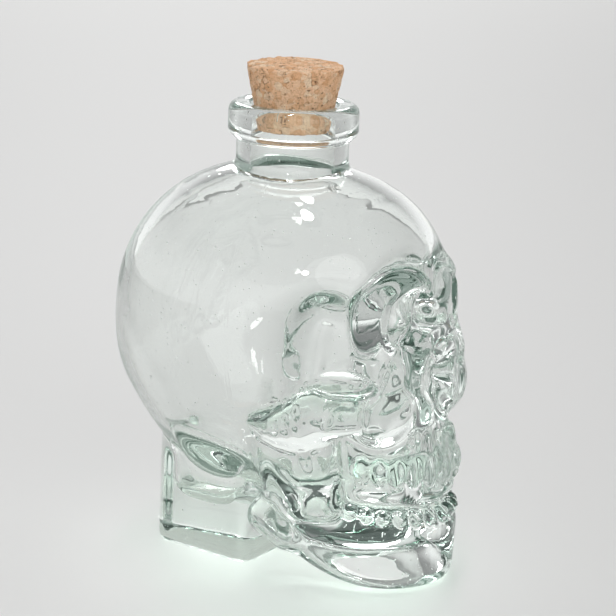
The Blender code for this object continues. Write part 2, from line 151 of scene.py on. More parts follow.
def rounded_path(stations, between=3):
    """More stations along a smooth curve through a few given ones."""
    ends = [2 * stations[0] - stations[1], *stations, 2 * stations[-1] - stations[-2]]
    path = []
    for a, b, c, d in zip(ends, ends[1:], ends[2:], ends[3:]):
        for i in range(between):
            t = i / between
            bend = (2 * a - 5 * b + 4 * c - d) * t**2 + (3 * b - a - 3 * c + d) * t**3
            path.append(b + 0.5 * ((c - a) * t + bend))
    return [*path, stations[-1]]


def bar(points, radii, blend):
    """A rounded bar through points, with its own radius at each."""
    stations = [np.array([*p, r], float) for p, r in zip(points, radii)]
    if 2 < len(stations) < 6:
        stations = rounded_path(stations)
    ends = np.array([s[:3] for s in stations])
    middle = (ends.min(0) + ends.max(0)) / 2

    def distance(points):
        nearest = np.full(len(points), np.inf)
        for start, end in zip(stations, stations[1:]):
            along = end[:3] - start[:3]
            share = np.clip((points - start[:3]) @ along / (along @ along), 0.0, 1.0)
            off = np.linalg.norm(points - start[:3] - share[:, None] * along, axis=1)
            nearest = np.minimum(nearest, off - (start[3] + share * (end[3] - start[3])))
        return nearest

    reach = float(np.linalg.norm(ends - middle, axis=1).max()) + max(radii)
    return Lump(middle, reach, blend, distance)


# %% [markdown]
# ## Pressing lumps together
# Clay that is pressed on leaves no sharp crease where it meets the rest. The smooth minimum of two distances
# does the same, and with the signs turned it presses a hollow in. Each lump is worked out only near itself,
# which keeps a form of many lumps quick. The head is alike on both sides, so only one side is described.

# %% Pressing lumps together
NEARBY = 14.0
SOFT_MIDDLE = 0.5


def smooth_min(a, b, blend):
    share = np.clip(0.5 + 0.5 * (b - a) / max(blend, 1e-6), 0.0, 1.0)
    return b + (a - b) * share - blend * share * (1.0 - share)


def add(field, lumps, points, swell=0.0):
    for lump in lumps:
        near = np.linalg.norm(points - lump.centre, axis=1) < lump.reach + NEARBY
        field[near] = smooth_min(field[near], lump.distance(points[near]), lump.blend + swell)
    return field


def carve(field, lumps, points, swell=0.0, grow=0.0):
    for lump in lumps:
        near = np.linalg.norm(points - lump.centre, axis=1) < lump.reach + NEARBY
        field[near] = -smooth_min(-field[near], lump.distance(points[near]) - grow, lump.blend + swell)
    return field


def one_side(points):
    """Both sides of the head folded onto +X, softly, so that the middle has no crease."""
    folded = points - PLAN_ORIGIN
    folded[:, 0] = np.sqrt(folded[:, 0] ** 2 + SOFT_MIDDLE**2)
    return folded


# %% [markdown]
# ## The plan of the head
# The big masses come first, as in any head: the cranium, the base behind it, the face and the jaws. X is
# given for one side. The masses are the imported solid's, but for rounder corners of the foot, so the two agree
# at large. The temples are cut sharper and further forward here, and some bones and both rows of teeth have
# numbers of their own, because a fine skin can show what the solid's few faces can't.

# %% Masses
def jaw_curve(half_width, front, depth, low, rise, points=20):
    """Points along half a jaw, a quarter of an ellipse from the middle to the back."""
    row = []
    for i in range(points + 1):
        angle = math.radians(90 * i / points)
        back = 1 - math.cos(angle)
        row.append((half_width * math.sin(angle), front + depth * back, low + rise * back**2))
    return row


def foot(back, front, top, back_half, front_half, rounding, blend):
    """The block under the back of the head: a wedge in plan, narrow behind, with rounded corners."""
    middle = np.array([0.0, (back + front) / 2, 0.0])

    def distance(points):
        share = np.clip((points[:, 1] - front) / (back - front), 0.0, 1.0)
        half = np.empty_like(points)
        half[:, 0] = front_half + share * (back_half - front_half)
        half[:, 1] = (back - front) / 2
        half[:, 2] = top
        off = np.abs(points - middle) - half + rounding
        return np.linalg.norm(np.maximum(off, 0.0), axis=1) + np.minimum(off.max(1), 0.0) - rounding

    return Lump(middle, top + front_half, blend, distance)


JAW_STATIONS = 21
MASSES = [
    egg((0, 3.0, 62), (34.5, 40.6, 37.2), 0),
    egg((0, -12.5, 72), (27.5, 28, 25.5), 8),
    egg((9, 6, 66), (22.5, 29, 29.5), 9),
    egg((0, 24, 51), (22, 17.8, 20), 7),
    egg((0, 2, 36), (25, 29, 18), 10),
    egg((0, -22, 54), (24, 17, 22), 6),
    egg((0, -29, 35), (16, 15, 13), 6),
    egg((0, -21, 19), (17, 21, 13), 6),
    egg((0, -15, 31), (24.5, 15, 17), 5),
    foot(30.5, -1.5, 30, 11, 17, 5.5, 3.0),
]
RECESSES = [
    # Temples: a slanting step in from the side of the cranium, and a slope up to the end of the brow
    slab((35.8, -33.1, 56.5), (11.5, 10.2, 9.5), 1.2, 0.8, (10, 0, -6)),
    slab((39.3, -24.6, 57.3), (12, 8, 9.8), 1.0, 0.8, (10, 0, 27)),
    egg((35.9, -32.4, 62.9), (11.4, 12, 8.2), 4.5, (-12, 0, -6)),
    # The hollows under the cheeks, and the arch under the jaw
    egg((31, -36, 34), (10.5, 9.5, 8), 2),
    bar([(0, -6, 4), (30, -6, 6)], [5.5, 7.0], 3),
]
print(len(MASSES), "masses and", len(RECESSES), "recesses")

# %% [markdown]
# ## Brows, cheeks and jaws
# Over the masses lie the bones that make it a skull: brow ridges, the rims of the sockets, cheekbones, the
# arches that run back to the ears, the nose, and the two jaws. Each is a bar or an egg pressed on softly.

# %% Features
FEATURES = [
    # Brow ridges and the space between them
    bar([(3, -37.3, 73), (10, -36.8, 74.2), (15.6, -34.3, 73.8), (19.4, -32.2, 70.5)],
        [3.8, 3.5, 3.0, 3.0], 4),
    egg((0, -37, 73), (6, 5.5, 5.5), 4),
    # Side rims of the sockets, down to the cheekbones
    bar([(19.6, -32.2, 71), (20.2, -33, 65), (19.5, -34.5, 56)], [3.2, 3.2, 4.0], 3),
    # Cheeks, and the cheekbones' way back to the arches
    egg((15.5, -34.6, 46), (8.8, 7.2, 8.4), 5),
    bar([(8.5, -37.3, 57.5), (14, -36.4, 56), (20, -34, 54)], [3.0, 3.4, 4.0], 4),
    # Arches, from the cheekbones back to the ears
    bar([(21.5, -33.8, 47), (26.6, -28.0, 46), (28.0, -22.5, 45.2), (30.2, -15, 41.8), (31.9, -8, 42.0)],
        [5.0, 5.6, 5.8, 3.2, 0.8], 3),
    # Bones of the nose, and the sides of its opening
    bar([(0, -38, 71), (0, -43.0, 61)], [3.2, 3.2], 3),
    bar([(5, -38.5, 62), (8.4, -38.2, 53), (6, -40.6, 45)], [2.8, 3.0, 3.2], 5),
    # Upper jaw
    bar(jaw_curve(14.3, -42.8, 25, 31.5, 2.0), [4.2] * JAW_STATIONS, 3),
    bar(jaw_curve(15.2, -43.4, 25, 24.5, 1.5), [3.2] * JAW_STATIONS, 2),
    # Lower jaw, out to its angles
    bar(jaw_curve(19.2, -43.2, 24.8, 2.8, 7.0) + [(21, -13.5, 12.5), (24.2, -9.5, 17)],
        [3.2] * JAW_STATIONS + [4.4, 4.6], 2),
    bar(jaw_curve(18.4, -42.5, 24.7, 6.4, 6.0), [3.9] * JAW_STATIONS, 3),
    bar(jaw_curve(17.7, -41.9, 24.5, 9.8, 4.8), [4.5] * JAW_STATIONS, 3),
    bar(jaw_curve(17.5, -42.4, 24.8, 12.9, 4.3), [4.2] * JAW_STATIONS, 3),
    bar(jaw_curve(17.4, -43.0, 25, 15.8, 4.0), [3.7] * JAW_STATIONS, 3),
    # The plate from the angle of the jaw up to the arch, and the bump behind the ear
    slab((24.2, -17.5, 31), (4.2, 9.5, 12.5), 3.8, 5, (-10, 8, 0)),
    egg((24.5, 6.5, 30), (5.6, 10.5, 4.2), 3, (15, 0, 20)),
]
OPENINGS = [
    # Eye sockets
    egg((11.2, -42, 67.6), (7.2, 13, 7.4), 1.5, (0, 14, 8)),
    # Nasal opening
    egg((0, -46.5, 56.5), (3.4, 9, 6.4), 1.5),
    egg((3.0, -46.5, 52.0), (3.2, 8.5, 4.0), 1.5),
    # Slots over the arches
    egg((26.2, -29.5, 53.2), (5.2, 8.2, 2.8), 0.5, (0, 0, -13)),
]
# Fine edges that show in the glass: the near rims of the sockets, and the creases round the cheekbones
RIMS = [
    bar([(18, -37.0, 71.6), (19, -36.7, 69), (19.2, -36.7, 65), (17.6, -37.2, 62), (15.4, -37.8, 60.4)],
        [0.5, 0.8, 0.9, 0.9, 0.8], 0.8),
]
CREASES = [
    bar([(15.2, -38.4, 61), (20.9, -39.1, 58.3), (23.9, -38.2, 52.7), (26.8, -36.1, 49.1),
         (26.4, -35.6, 43.3), (22, -33.4, 38)], [0.9] * 6, 0.6),
    bar([(32.8, -28.9, 44.4), (32.1, -29.6, 48.3), (30.3, -31.2, 49.8), (28.6, -33.8, 49.4)], [0.8] * 4, 0.6),
]
print(len(FEATURES), "features and", len(OPENINGS), "openings")

# %% [markdown]
# ## Teeth
# A tooth is an egg set in the jaw's curve and turned to face outwards. The upper teeth stand side by side,
# with a groove between neighbours and a faint root over each one. The lower ones show as a row of beads.

# %% Teeth
def tooth_row(count, curve, thickness, height, blend, share):
    """Eggs side by side along a jaw curve, from the middle to the back."""
    curve = [np.array(p) for p in curve]
    runs = np.cumsum([0] + [np.linalg.norm(b - a) for a, b in zip(curve, curve[1:])])
    pitch = runs[-1] / count
    row = []
    for i in range(count):
        at = int(np.searchsorted(runs, (i + 0.5) * pitch))
        way = curve[min(at + 1, len(curve) - 1)] - curve[at - 1]
        heading = math.degrees(math.atan2(way[1], way[0]))
        row.append(egg(curve[at], (pitch * share, thickness, height / 2), blend, (0, 0, heading)))
    return row


CURVE_POINTS = 200
UPPER_CURVE = jaw_curve(16.8, -45.6, 25.5, 30.0, 1.8, CURVE_POINTS)
ROOT_CURVE = jaw_curve(14.6, -45.0, 25.5, 35.4, 1.5, CURVE_POINTS)
LOWER_CURVE = jaw_curve(19.6, -45.4, 25.5, 18.2, 3.8, CURVE_POINTS)
TEETH = [
    *tooth_row(8, UPPER_CURVE, thickness=2.6, height=8.8, blend=0.3, share=0.46),
    *tooth_row(8, ROOT_CURVE, thickness=2.0, height=8.0, blend=1.0, share=0.32),
    *tooth_row(9, LOWER_CURVE, thickness=2.2, height=3.9, blend=0.2, share=0.46),
]
print(len(TEETH), "teeth and roots on each side")

# %% [markdown]
# ## The form of the head
# The order is a sculptor's: masses, then what is pressed into them, then the bones laid over that, then the
# openings and the teeth, and the fine creases last, so that each keeps its own sharpness. The ground cuts the
# foot and the jaw off level, with an edge rounded as moulded glass is.

# %% The form of the head
SOFT_GROUND = 1.6


def head_form(points):
    """Distance in millimetres from points of the frame to the outside of the head, negative inside it."""
    folded = one_side(points)
    field = add(np.full(len(points), 1e3), MASSES, folded)
    field = carve(field, RECESSES, folded)
    field = add(field, FEATURES, folded)
    field = carve(field, OPENINGS, folded)
    field = add(field, TEETH + RIMS, folded)
    field = carve(field, CREASES, folded)
    return -smooth_min(-field, points[:, 2], SOFT_GROUND)


def ease(values, start, end):
    """Rises smoothly from 0 at start to 1 at end."""
    share = np.clip((values - start) / (end - start), 0.0, 1.0)
    return share * share * (3 - 2 * share)


# %% [markdown]
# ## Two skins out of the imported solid
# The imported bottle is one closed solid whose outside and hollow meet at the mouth. Cut level below the neck
# and capped, it falls apart into two closed meshes: the outside of the head and the shape of the hollow.
# Both are good starts for finer skins. The node's own mesh is never touched: a copy of it is merged and cut.

# %% Cut the copy into its two skins
def capped_copy(node, level):
    """A merged copy of a node's mesh, cut off above a level and closed there."""
    bm = bmesh.new()
    bm.from_mesh(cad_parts[node].data)
    bmesh.ops.remove_doubles(bm, verts=bm.verts, dist=1e-6)
    whole = [*bm.verts, *bm.edges, *bm.faces]
    bmesh.ops.bisect_plane(bm, geom=whole, plane_co=(0, 0, level), plane_no=(0, 0, 1), clear_outer=True)
    bmesh.ops.holes_fill(bm, edges=[e for e in bm.edges if e.is_boundary], sides=0)
    return bm


def connected(start):
    """All vertices that edges join to this one."""
    found, waiting = {start}, [start]
    while waiting:
        for edge in waiting.pop().link_edges:
            for vert in edge.verts:
                if vert not in found:
                    found.add(vert)
                    waiting.append(vert)
    return found


def object_from(bm, name):
    mesh = bpy.data.meshes.new(name)
    bm.to_mesh(mesh)
    bm.free()
    obj = bpy.data.objects.new(name, mesh)
    bpy.context.scene.collection.objects.link(obj)
    return obj


BELOW_CROWN = 6.0


def skin(name, keep_outside):
    """One of the two skins, as a closed mesh with its faces outwards."""
    bm = capped_copy("skull_bottle", (CROWN - BELOW_CROWN) * MM)
    outside = connected(min(bm.verts, key=lambda v: v.co.z))
    drop = [v for v in bm.verts if (v in outside) != keep_outside]
    bmesh.ops.delete(bm, geom=drop, context="VERTS")
    bmesh.ops.recalc_face_normals(bm, faces=bm.faces)
    return object_from(bm, name)


glass = skin("skull_glass", True)
hollow = skin("hollow", False)
print("outside", len(glass.data.vertices), "vertices, hollow", len(hollow.data.vertices))

# %% [markdown]
# ## A fine, even skin
# Voxel Remesh lays an even grid of small quads over a mesh, whatever its faces were. Each vertex then slides
# along its normal until the form's distance is nought there. A little smoothing between slides spreads the
# vertices evenly, because glass shows every pinch in its mesh as a flaw in what is seen through it.

# %% Remesh and settle
def apply_modifiers(obj):
    graph = bpy.context.evaluated_depsgraph_get()
    mesh = bpy.data.meshes.new_from_object(obj.evaluated_get(graph))
    obj.modifiers.clear()
    obj.data = mesh


def remesh(obj, voxel):
    modifier = obj.modifiers.new("even_skin", "REMESH")
    modifier.mode = "VOXEL"
    modifier.voxel_size = voxel * MM
    apply_modifiers(obj)


def read_vectors(mesh, field):
    flat = np.empty(len(mesh.vertices) * 3)
    mesh.vertices.foreach_get(field, flat)
    return flat.reshape(-1, 3)


def settle(obj, form, passes, most=1.5):
    """Slides each vertex along its normal onto a form."""
    mesh = obj.data
    for _ in range(passes):
        points = read_vectors(mesh, "co") / MM
        move = np.clip(form(points), -most, most)
        points -= read_vectors(mesh, "normal") * move[:, None]
        mesh.vertices.foreach_set("co", (points * MM).ravel())
        mesh.update()


def smooth(obj, rounds, factor=0.5, chosen=None):
    """Moves vertices towards the mean of their neighbours."""
    bm = bmesh.new()
    bm.from_mesh(obj.data)
    verts = [v for v in bm.verts if chosen is None or chosen(v.co)]
    axes = {"use_axis_x": True, "use_axis_y": True, "use_axis_z": True}
    for _ in range(rounds):
        bmesh.ops.smooth_vert(bm, verts=verts, factor=factor, **axes)
    bm.to_mesh(obj.data)
    bm.free()


started = time.time()
OUTSIDE_VOXEL = 0.8
remesh(glass, 2 * OUTSIDE_VOXEL)
settle(glass, head_form, 5, 1.0)
remesh(glass, OUTSIDE_VOXEL)
settle(glass, head_form, 4, 0.8)
for _ in range(2):
    smooth(glass, 1)
    settle(glass, head_form, 2, 0.5)
print("outside skin", len(glass.data.vertices), "vertices in", round(time.time() - started, 1), "s")

# %% [markdown]
# ## The hollow
# Blown glass follows its mould a wall further in and rounds off everything: no tooth shows inside. It stops
# above a thick floor in the jaw and the foot. Its surface cooled in air, so it carries long, shallow waves,
# which are what bends the lines that are seen through a cheap bottle.

# %% The inside of the wall
WALL = 3.2
LOW_WALL = 5.2
FLOOR = 11.0
JAW_FLOOR = 13.0
FLOOR_SOFTNESS = 7.0
LUMP_SOFTNESS = 2.0
RECESS_SOFTNESS = 3.5
RECESS_THICKENING = 1.9
OPENING_SOFTNESS = 3.0
WAVE_HEIGHT = 0.05
WAVE_LENGTH = 16.0
LOW_WALL_HEIGHTS = (34, 20)
JAW_FLOOR_REACH = (-2, -16)


def waves(points):
    """Long shallow waves, three crossing trains of them."""
    x, y, z = (points / WAVE_LENGTH).T
    train = np.sin(5.1 * x + 1.7 * np.sin(2.3 * z)) + np.sin(4.3 * y + 1.9 * np.sin(3.1 * x + 1.0))
    return (train + np.sin(4.7 * z + 1.5 * np.sin(2.9 * y + 2.0))) / 3.0


def hollow_form(points):
    """Distance to the inside of the wall, negative in the hollow."""
    folded = one_side(points)
    field = add(np.full(len(points), 1e3), MASSES, folded, LUMP_SOFTNESS)
    field = carve(field, RECESSES, folded, RECESS_SOFTNESS, RECESS_THICKENING)
    field = carve(field, OPENINGS, folded, OPENING_SOFTNESS)
    field += WALL + (LOW_WALL - WALL) * ease(folded[:, 2], *LOW_WALL_HEIGHTS)
    floor = FLOOR + (JAW_FLOOR - FLOOR) * ease(folded[:, 1], *JAW_FLOOR_REACH)
    field = -smooth_min(-field, points[:, 2] - floor, FLOOR_SOFTNESS)
    return field + WAVE_HEIGHT * waves(points)


started = time.time()
HOLLOW_VOXEL = 1.1
remesh(hollow, HOLLOW_VOXEL)
settle(hollow, hollow_form, 5)
for _ in range(3):
    smooth(hollow, 8)
    settle(hollow, hollow_form, 2, 0.5)
smooth(hollow, 4)
print("hollow", len(hollow.data.vertices), "vertices in", round(time.time() - started, 1), "s")

# %% [markdown]
# ## Neck and lip
# The neck is the one part of the glass that a finishing tool shapes in the round, so it is a profile spun
# about the axis: a flare out of the crown, a straight neck, and a collar with rounded edges for the lip.
# A second spun body cuts the bore and the rounded mouth that the cork wedges on.

# %% Spin the neck and the bore
NECK_RADIUS = 13.8
BORE_RADIUS = 10.3
LIP_RADIUS = 16.0
LIP_HEIGHT = 8.4
LIP_CORNER = 0.8
LIP_ROUNDING = 2.2
NECK_FILLET = 4.5
FILLET_LIFT = 1.5
NECK_ROOT_DEPTH = 9.0
NECK_FLARE = math.radians(50)
MOUTH_ROUNDING = 1.5
MOUTH_SLOPE = math.radians(20)
MOUTH_OVERRUN = 3.0
SHOULDER_ROUNDING = 6.0
SHOULDER_DROP = 1.0
TURNED_SIDES = 128


def turned(profile, name):
    """A closed body spun from a profile of (radius, height) that starts and ends on the axis."""
    bm = bmesh.new()
    verts = [bm.verts.new(neck_axis + Vector((r * MM, 0.0, z * MM))) for r, z in profile]
    edges = [bm.edges.new(pair) for pair in zip(verts, verts[1:])]
    bmesh.ops.spin(
        bm, geom=verts + edges, cent=neck_axis, axis=(0, 0, 1),
        angle=math.tau, steps=TURNED_SIDES, use_merge=True,
    )
    bmesh.ops.remove_doubles(bm, verts=bm.verts, dist=1e-6)
    bmesh.ops.recalc_face_normals(bm, faces=bm.faces)
    return object_from(bm, name)


def arc(centre, radius, start, end, steps):
    """Points of a round corner of a profile, between two angles in degrees."""
    angles = [math.radians(start + (end - start) * i / steps) for i in range(steps + 1)]
    return [(centre[0] + radius * math.cos(a), centre[1] + radius * math.sin(a)) for a in angles]


def straight(start, end, steps):
    """Points between two ends of a straight stretch, so that its faces stay short."""
    (r, z), (r_end, z_end) = start, end
    return [(r + (r_end - r) * i / steps, z + (z_end - z) * i / steps) for i in range(1, steps)]


fillet = arc((NECK_RADIUS + NECK_FILLET, CROWN + FILLET_LIFT), NECK_FILLET, 220, 180, 12)
root = CROWN - NECK_ROOT_DEPTH
flare = (fillet[0][1] - root) / math.tan(NECK_FLARE)
under_lip = arc((NECK_RADIUS + LIP_CORNER, LIP_TOP - LIP_HEIGHT - LIP_CORNER), LIP_CORNER, 180, 90, 6)
lip = arc((LIP_RADIUS - LIP_ROUNDING, LIP_TOP - LIP_HEIGHT + LIP_ROUNDING), LIP_ROUNDING, 270, 360, 12)
lip += arc((LIP_RADIUS - LIP_ROUNDING, LIP_TOP - LIP_ROUNDING), LIP_ROUNDING, 0, 90, 12)
outline = [(0.0, root), (fillet[0][0] + flare, root), *fillet, *straight(fillet[-1], under_lip[0], 4)]
neck = turned([*outline, *under_lip, *lip, (0.0, LIP_TOP)], "neck")

mouth = arc((BORE_RADIUS + MOUTH_ROUNDING, LIP_TOP - MOUTH_ROUNDING), MOUTH_ROUNDING, 180, 110, 10)
slope = Vector((math.cos(MOUTH_SLOPE), math.sin(MOUTH_SLOPE))) * MOUTH_OVERRUN
widens = arc((BORE_RADIUS + SHOULDER_ROUNDING, CROWN - SHOULDER_DROP), SHOULDER_ROUNDING, 225, 180, 10)
low = CROWN - 3 * WALL
over = (mouth[-1][0] + slope.x, mouth[-1][1] + slope.y)
inside = [(0.0, low), (widens[0][0], low), *widens, *straight(widens[-1], mouth[0], 6), *mouth]
bore = turned([*inside, over, (0.0, over[1])], "bore")
print("neck", len(neck.data.vertices), "vertices, bore", len(bore.data.vertices))

# %% [markdown]
# ## One piece of glass
# Union adds the neck, and two differences take out the hollow and the bore. The exact solver keeps the
# result closed, which matters for glass: light is bent only where a ray can tell inside from outside.

# %% Booleans
def boolean(obj, other, operation):
    modifier = obj.modifiers.new(operation.lower(), "BOOLEAN")
    modifier.operation = operation
    modifier.solver = "EXACT"
    modifier.object = other
    apply_modifiers(obj)
    bpy.data.objects.remove(other)


started = time.time()
boolean(glass, neck, "UNION")
boolean(glass, hollow, "DIFFERENCE")
boolean(glass, bore, "DIFFERENCE")
print("booleans in", round(time.time() - started, 1), "s")


ROOT_REACH = 26.0


def by_the_root(co):
    """True in the ring where the neck's flare runs out on the crown, outside the bore."""
    off = (co - neck_axis).to_2d().length / MM
    return NECK_RADIUS + 1.0 < off < ROOT_REACH and root < co.z / MM < CROWN - 1.0


smooth(glass, 12, 0.5, by_the_root)
glass.data.shade_smooth()
counted = bmesh.new()
counted.from_mesh(glass.data)
open_edges = sum(not e.is_manifold for e in counted.edges)
print("glass", len(counted.verts), "vertices,", sum(len(f.verts) - 2 for f in counted.faces), "triangles,",
      open_edges, "open edges,", round(counted.calc_volume() / MM**3 / 1000, 1), "ml")
counted.free()
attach(glass, "bottle")
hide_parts("skull_bottle")

# %% [markdown]
# ## Tools for materials
# Node groups keep an effect that several materials share, or that has many nodes, apart from the shader that
# uses it. These short functions add the nodes that all of them need.

# %% Node helpers
def new_material(name):
    made = bpy.data.materials.new(name)
    made.use_nodes = True
    return made, made.node_tree, made.node_tree.nodes["Principled BSDF"]


def group_nodes(name, inputs, outputs):
    """An empty node group with the given sockets."""
    group = bpy.data.node_groups.new(name, "ShaderNodeTree")
    for label, kind, value in inputs:
        socket = group.interface.new_socket(label, in_out="INPUT", socket_type=kind)
        if value is not None:
            socket.default_value = value
    for label, kind in outputs:
        group.interface.new_socket(label, in_out="OUTPUT", socket_type=kind)
    return group, group.nodes.new("NodeGroupInput"), group.nodes.new("NodeGroupOutput")


def add_math(tree, operation, first, second=None, clamp=False):
    """A Math node fed by sockets or plain numbers, and its output."""
    node = tree.nodes.new("ShaderNodeMath")
    node.operation = operation
    node.use_clamp = clamp
    for socket, value in zip(node.inputs, (first, second)):
        if isinstance(value, bpy.types.NodeSocket):
            tree.links.new(value, socket)
        elif value is not None:
            socket.default_value = value
    return node.outputs[0]


def add_noise(tree, vector, scale, detail=2.0, roughness=0.5, distortion=0.0):
    node = tree.nodes.new("ShaderNodeTexNoise")
    node.inputs["Scale"].default_value = scale
    node.inputs["Detail"].default_value = detail
    node.inputs["Roughness"].default_value = roughness
    node.inputs["Distortion"].default_value = distortion
    tree.links.new(vector, node.inputs["Vector"])
    return node


def add_ramp(tree, value, stops):
    """A Color Ramp with its stops, each (position, colour)."""
    node = tree.nodes.new("ShaderNodeValToRGB")
    elements = node.color_ramp.elements
    elements[0].position, elements[0].color = stops[0][0], (*stops[0][1], 1.0)
    elements[1].position, elements[1].color = stops[-1][0], (*stops[-1][1], 1.0)
    for position, colour in stops[1:-1]:
        elements.new(position).color = (*colour, 1.0)
    tree.links.new(value, node.inputs["Fac"])
    return node.outputs["Color"]


def add_mix(tree, share, first, second, blend="MIX"):
    """A Mix Color node fed by sockets or plain colours, and its output."""
    node = tree.nodes.new("ShaderNodeMix")
    node.data_type = "RGBA"
    node.blend_type = blend
    for label, value in (("Factor", share), ("A", first), ("B", second)):
        socket = [i for i in node.inputs if i.name == label and i.enabled][0]
        if isinstance(value, bpy.types.NodeSocket):
            tree.links.new(value, socket)
        else:
            socket.default_value = value
    return [o for o in node.outputs if o.enabled][0]


def add_voronoi(tree, vector, scale, feature="F1"):
    node = tree.nodes.new("ShaderNodeTexVoronoi")
    node.feature = feature
    node.inputs["Scale"].default_value = scale
    tree.links.new(vector, node.inputs["Vector"])
    return node


def add_group(tree, group, vector, **values):
    """A group node fed by a vector and plain numbers."""
    node = tree.nodes.new("ShaderNodeGroup")
    node.node_tree = group
    tree.links.new(vector, node.inputs["Vector"])
    for label, value in values.items():
        node.inputs[label.capitalize()].default_value = value
    return node


def fall(tree, value, start, end):
    """1 up to start, and down to 0 at end."""
    node = tree.nodes.new("ShaderNodeMapRange")
    node.interpolation_type = "SMOOTHSTEP"
    node.inputs["From Min"].default_value = start
    node.inputs["From Max"].default_value = end
    node.inputs["To Min"].default_value = 1.0
    node.inputs["To Max"].default_value = 0.0
    tree.links.new(value, node.inputs["Value"])
    return node.outputs["Result"]


# %% [markdown]
# ## Specks
# Dust on the glass and pits in the cork are both small round spots of mixed sizes, scattered without a
# pattern. One cell of a Voronoi texture holds one spot, and the cell's own random red sets the spot's size.

# %% Specks
specks, ins, outs = group_nodes(
    "specks",
    [
        ("Vector", "NodeSocketVector", None),
        ("Scale", "NodeSocketFloat", 700.0),
        ("Size", "NodeSocketFloat", 0.1),
    ],
    [("Mask", "NodeSocketFloat")],
)
cells = add_voronoi(specks, ins.outputs["Vector"], 1.0)
specks.links.new(ins.outputs["Scale"], cells.inputs["Scale"])
drawn = specks.nodes.new("ShaderNodeSeparateColor")
specks.links.new(cells.outputs["Color"], drawn.inputs["Color"])
size = add_math(specks, "MULTIPLY", ins.outputs["Size"], drawn.outputs["Red"])
near = add_math(specks, "DIVIDE", cells.outputs["Distance"], size)
specks.links.new(fall(specks, near, 0.55, 1.0), outs.inputs["Mask"])
print("groups:", [g.name for g in bpy.data.node_groups])

# %% [markdown]
# ## Clear glass
# Bottle glass bends light by an index of 1.52 and swallows a little red and blue, which shows as green where
# a ray runs a long way inside it, along an edge or through the jaw. One clear shader, met by shadow rays
# alone, lets light through to the floor. A second, darker one lets out the rays that a thick wall keeps
# turning back, which would end up black. Iron moulds leave the skin faintly rippled and with a seam down each
# side, and handling leaves specks of dust and dull smudges.

# %% The skin of moulded glass
moulded, ins, outs = group_nodes(
    "moulded_skin",
    [("Vector", "NodeSocketVector", None), ("Seam", "NodeSocketFloat", 0.0)],
    [("Height", "NodeSocketFloat"), ("Smudge", "NodeSocketFloat")],
)
vector = ins.outputs["Vector"]
ripple = add_noise(moulded, vector, 42.0, 1.0).outputs["Fac"]
peel = add_noise(moulded, vector, 260.0, 2.0).outputs["Fac"]
height = add_math(moulded, "ADD", ripple, add_math(moulded, "MULTIPLY", peel, 0.07))
along = moulded.nodes.new("ShaderNodeSeparateXYZ")
moulded.links.new(vector, along.inputs["Vector"])
from_seam = add_math(moulded, "SUBTRACT", along.outputs["Y"], ins.outputs["Seam"])
off_seam = add_math(moulded, "ABSOLUTE", from_seam)
seam = fall(moulded, off_seam, 0.00004, 0.00030)
height = add_math(moulded, "ADD", height, add_math(moulded, "MULTIPLY", seam, 0.10))
dust = add_group(moulded, specks, vector, scale=620.0, size=0.17).outputs["Mask"]
height = add_math(moulded, "ADD", height, add_math(moulded, "MULTIPLY", dust, 0.30))
moulded.links.new(height, outs.inputs["Height"])
cloud = add_noise(moulded, vector, 45.0, 4.0, 0.65, 0.6).outputs["Fac"]
smudge = add_math(moulded, "SUBTRACT", 1.0, fall(moulded, cloud, 0.50, 0.72))
smudge = add_math(moulded, "MULTIPLY", smudge, 0.06)
smudge = add_math(moulded, "ADD", smudge, add_math(moulded, "MULTIPLY", dust, 0.45))
moulded.links.new(smudge, outs.inputs["Smudge"])

# %% [markdown]
# ## Glass material
# The surface is a plain transmitting shader, and the green is a volume that absorbs, so a longer way through
# the glass is a deeper green by itself. The two clear shaders are mixed in last, each by its own light path.

# %% Glass material
RIPPLE_HEIGHT = 0.00018
TURNED_BACK = 2.5
clear_glass, tree, shader = new_material("clear_glass")
shader.inputs["Base Color"].default_value = (0.985, 1.0, 0.99, 1.0)
shader.inputs["IOR"].default_value = 1.52
shader.inputs["Transmission Weight"].default_value = 1.0
place = tree.nodes.new("ShaderNodeTexCoord").outputs["Object"]
skin_look = add_group(tree, moulded, place, seam=neck_axis.y - 0.002)
bump = tree.nodes.new("ShaderNodeBump")
bump.inputs["Distance"].default_value = RIPPLE_HEIGHT
tree.links.new(skin_look.outputs["Height"], bump.inputs["Height"])
tree.links.new(bump.outputs["Normal"], shader.inputs["Normal"])
tree.links.new(skin_look.outputs["Smudge"], shader.inputs["Roughness"])
swallow = tree.nodes.new("ShaderNodeVolumeAbsorption")
swallow.inputs["Color"].default_value = (0.60, 0.82, 0.71, 1.0)
swallow.inputs["Density"].default_value = 5.0
rays = tree.nodes.new("ShaderNodeLightPath")
let_through = tree.nodes.new("ShaderNodeBsdfTransparent")
let_through.inputs["Color"].default_value = (0.89, 0.925, 0.905, 1.0)
let_out = tree.nodes.new("ShaderNodeBsdfTransparent")
let_out.inputs["Color"].default_value = (0.56, 0.65, 0.61, 1.0)
seen = tree.nodes.new("ShaderNodeMixShader")
shown = tree.nodes.new("ShaderNodeMixShader")
output = tree.nodes["Material Output"]
trapped = add_math(tree, "GREATER_THAN", rays.outputs["Glossy Depth"], TURNED_BACK)
tree.links.new(trapped, seen.inputs["Fac"])
tree.links.new(shader.outputs["BSDF"], seen.inputs[1])
tree.links.new(let_out.outputs["BSDF"], seen.inputs[2])
tree.links.new(rays.outputs["Is Shadow Ray"], shown.inputs["Fac"])
tree.links.new(seen.outputs["Shader"], shown.inputs[1])
tree.links.new(let_through.outputs["BSDF"], shown.inputs[2])
tree.links.new(shown.outputs["Shader"], output.inputs["Surface"])
tree.links.new(swallow.outputs["Volume"], output.inputs["Volume"])
glass.data.materials.clear()
glass.data.materials.append(clear_glass)
print("glass nodes", len(tree.nodes))

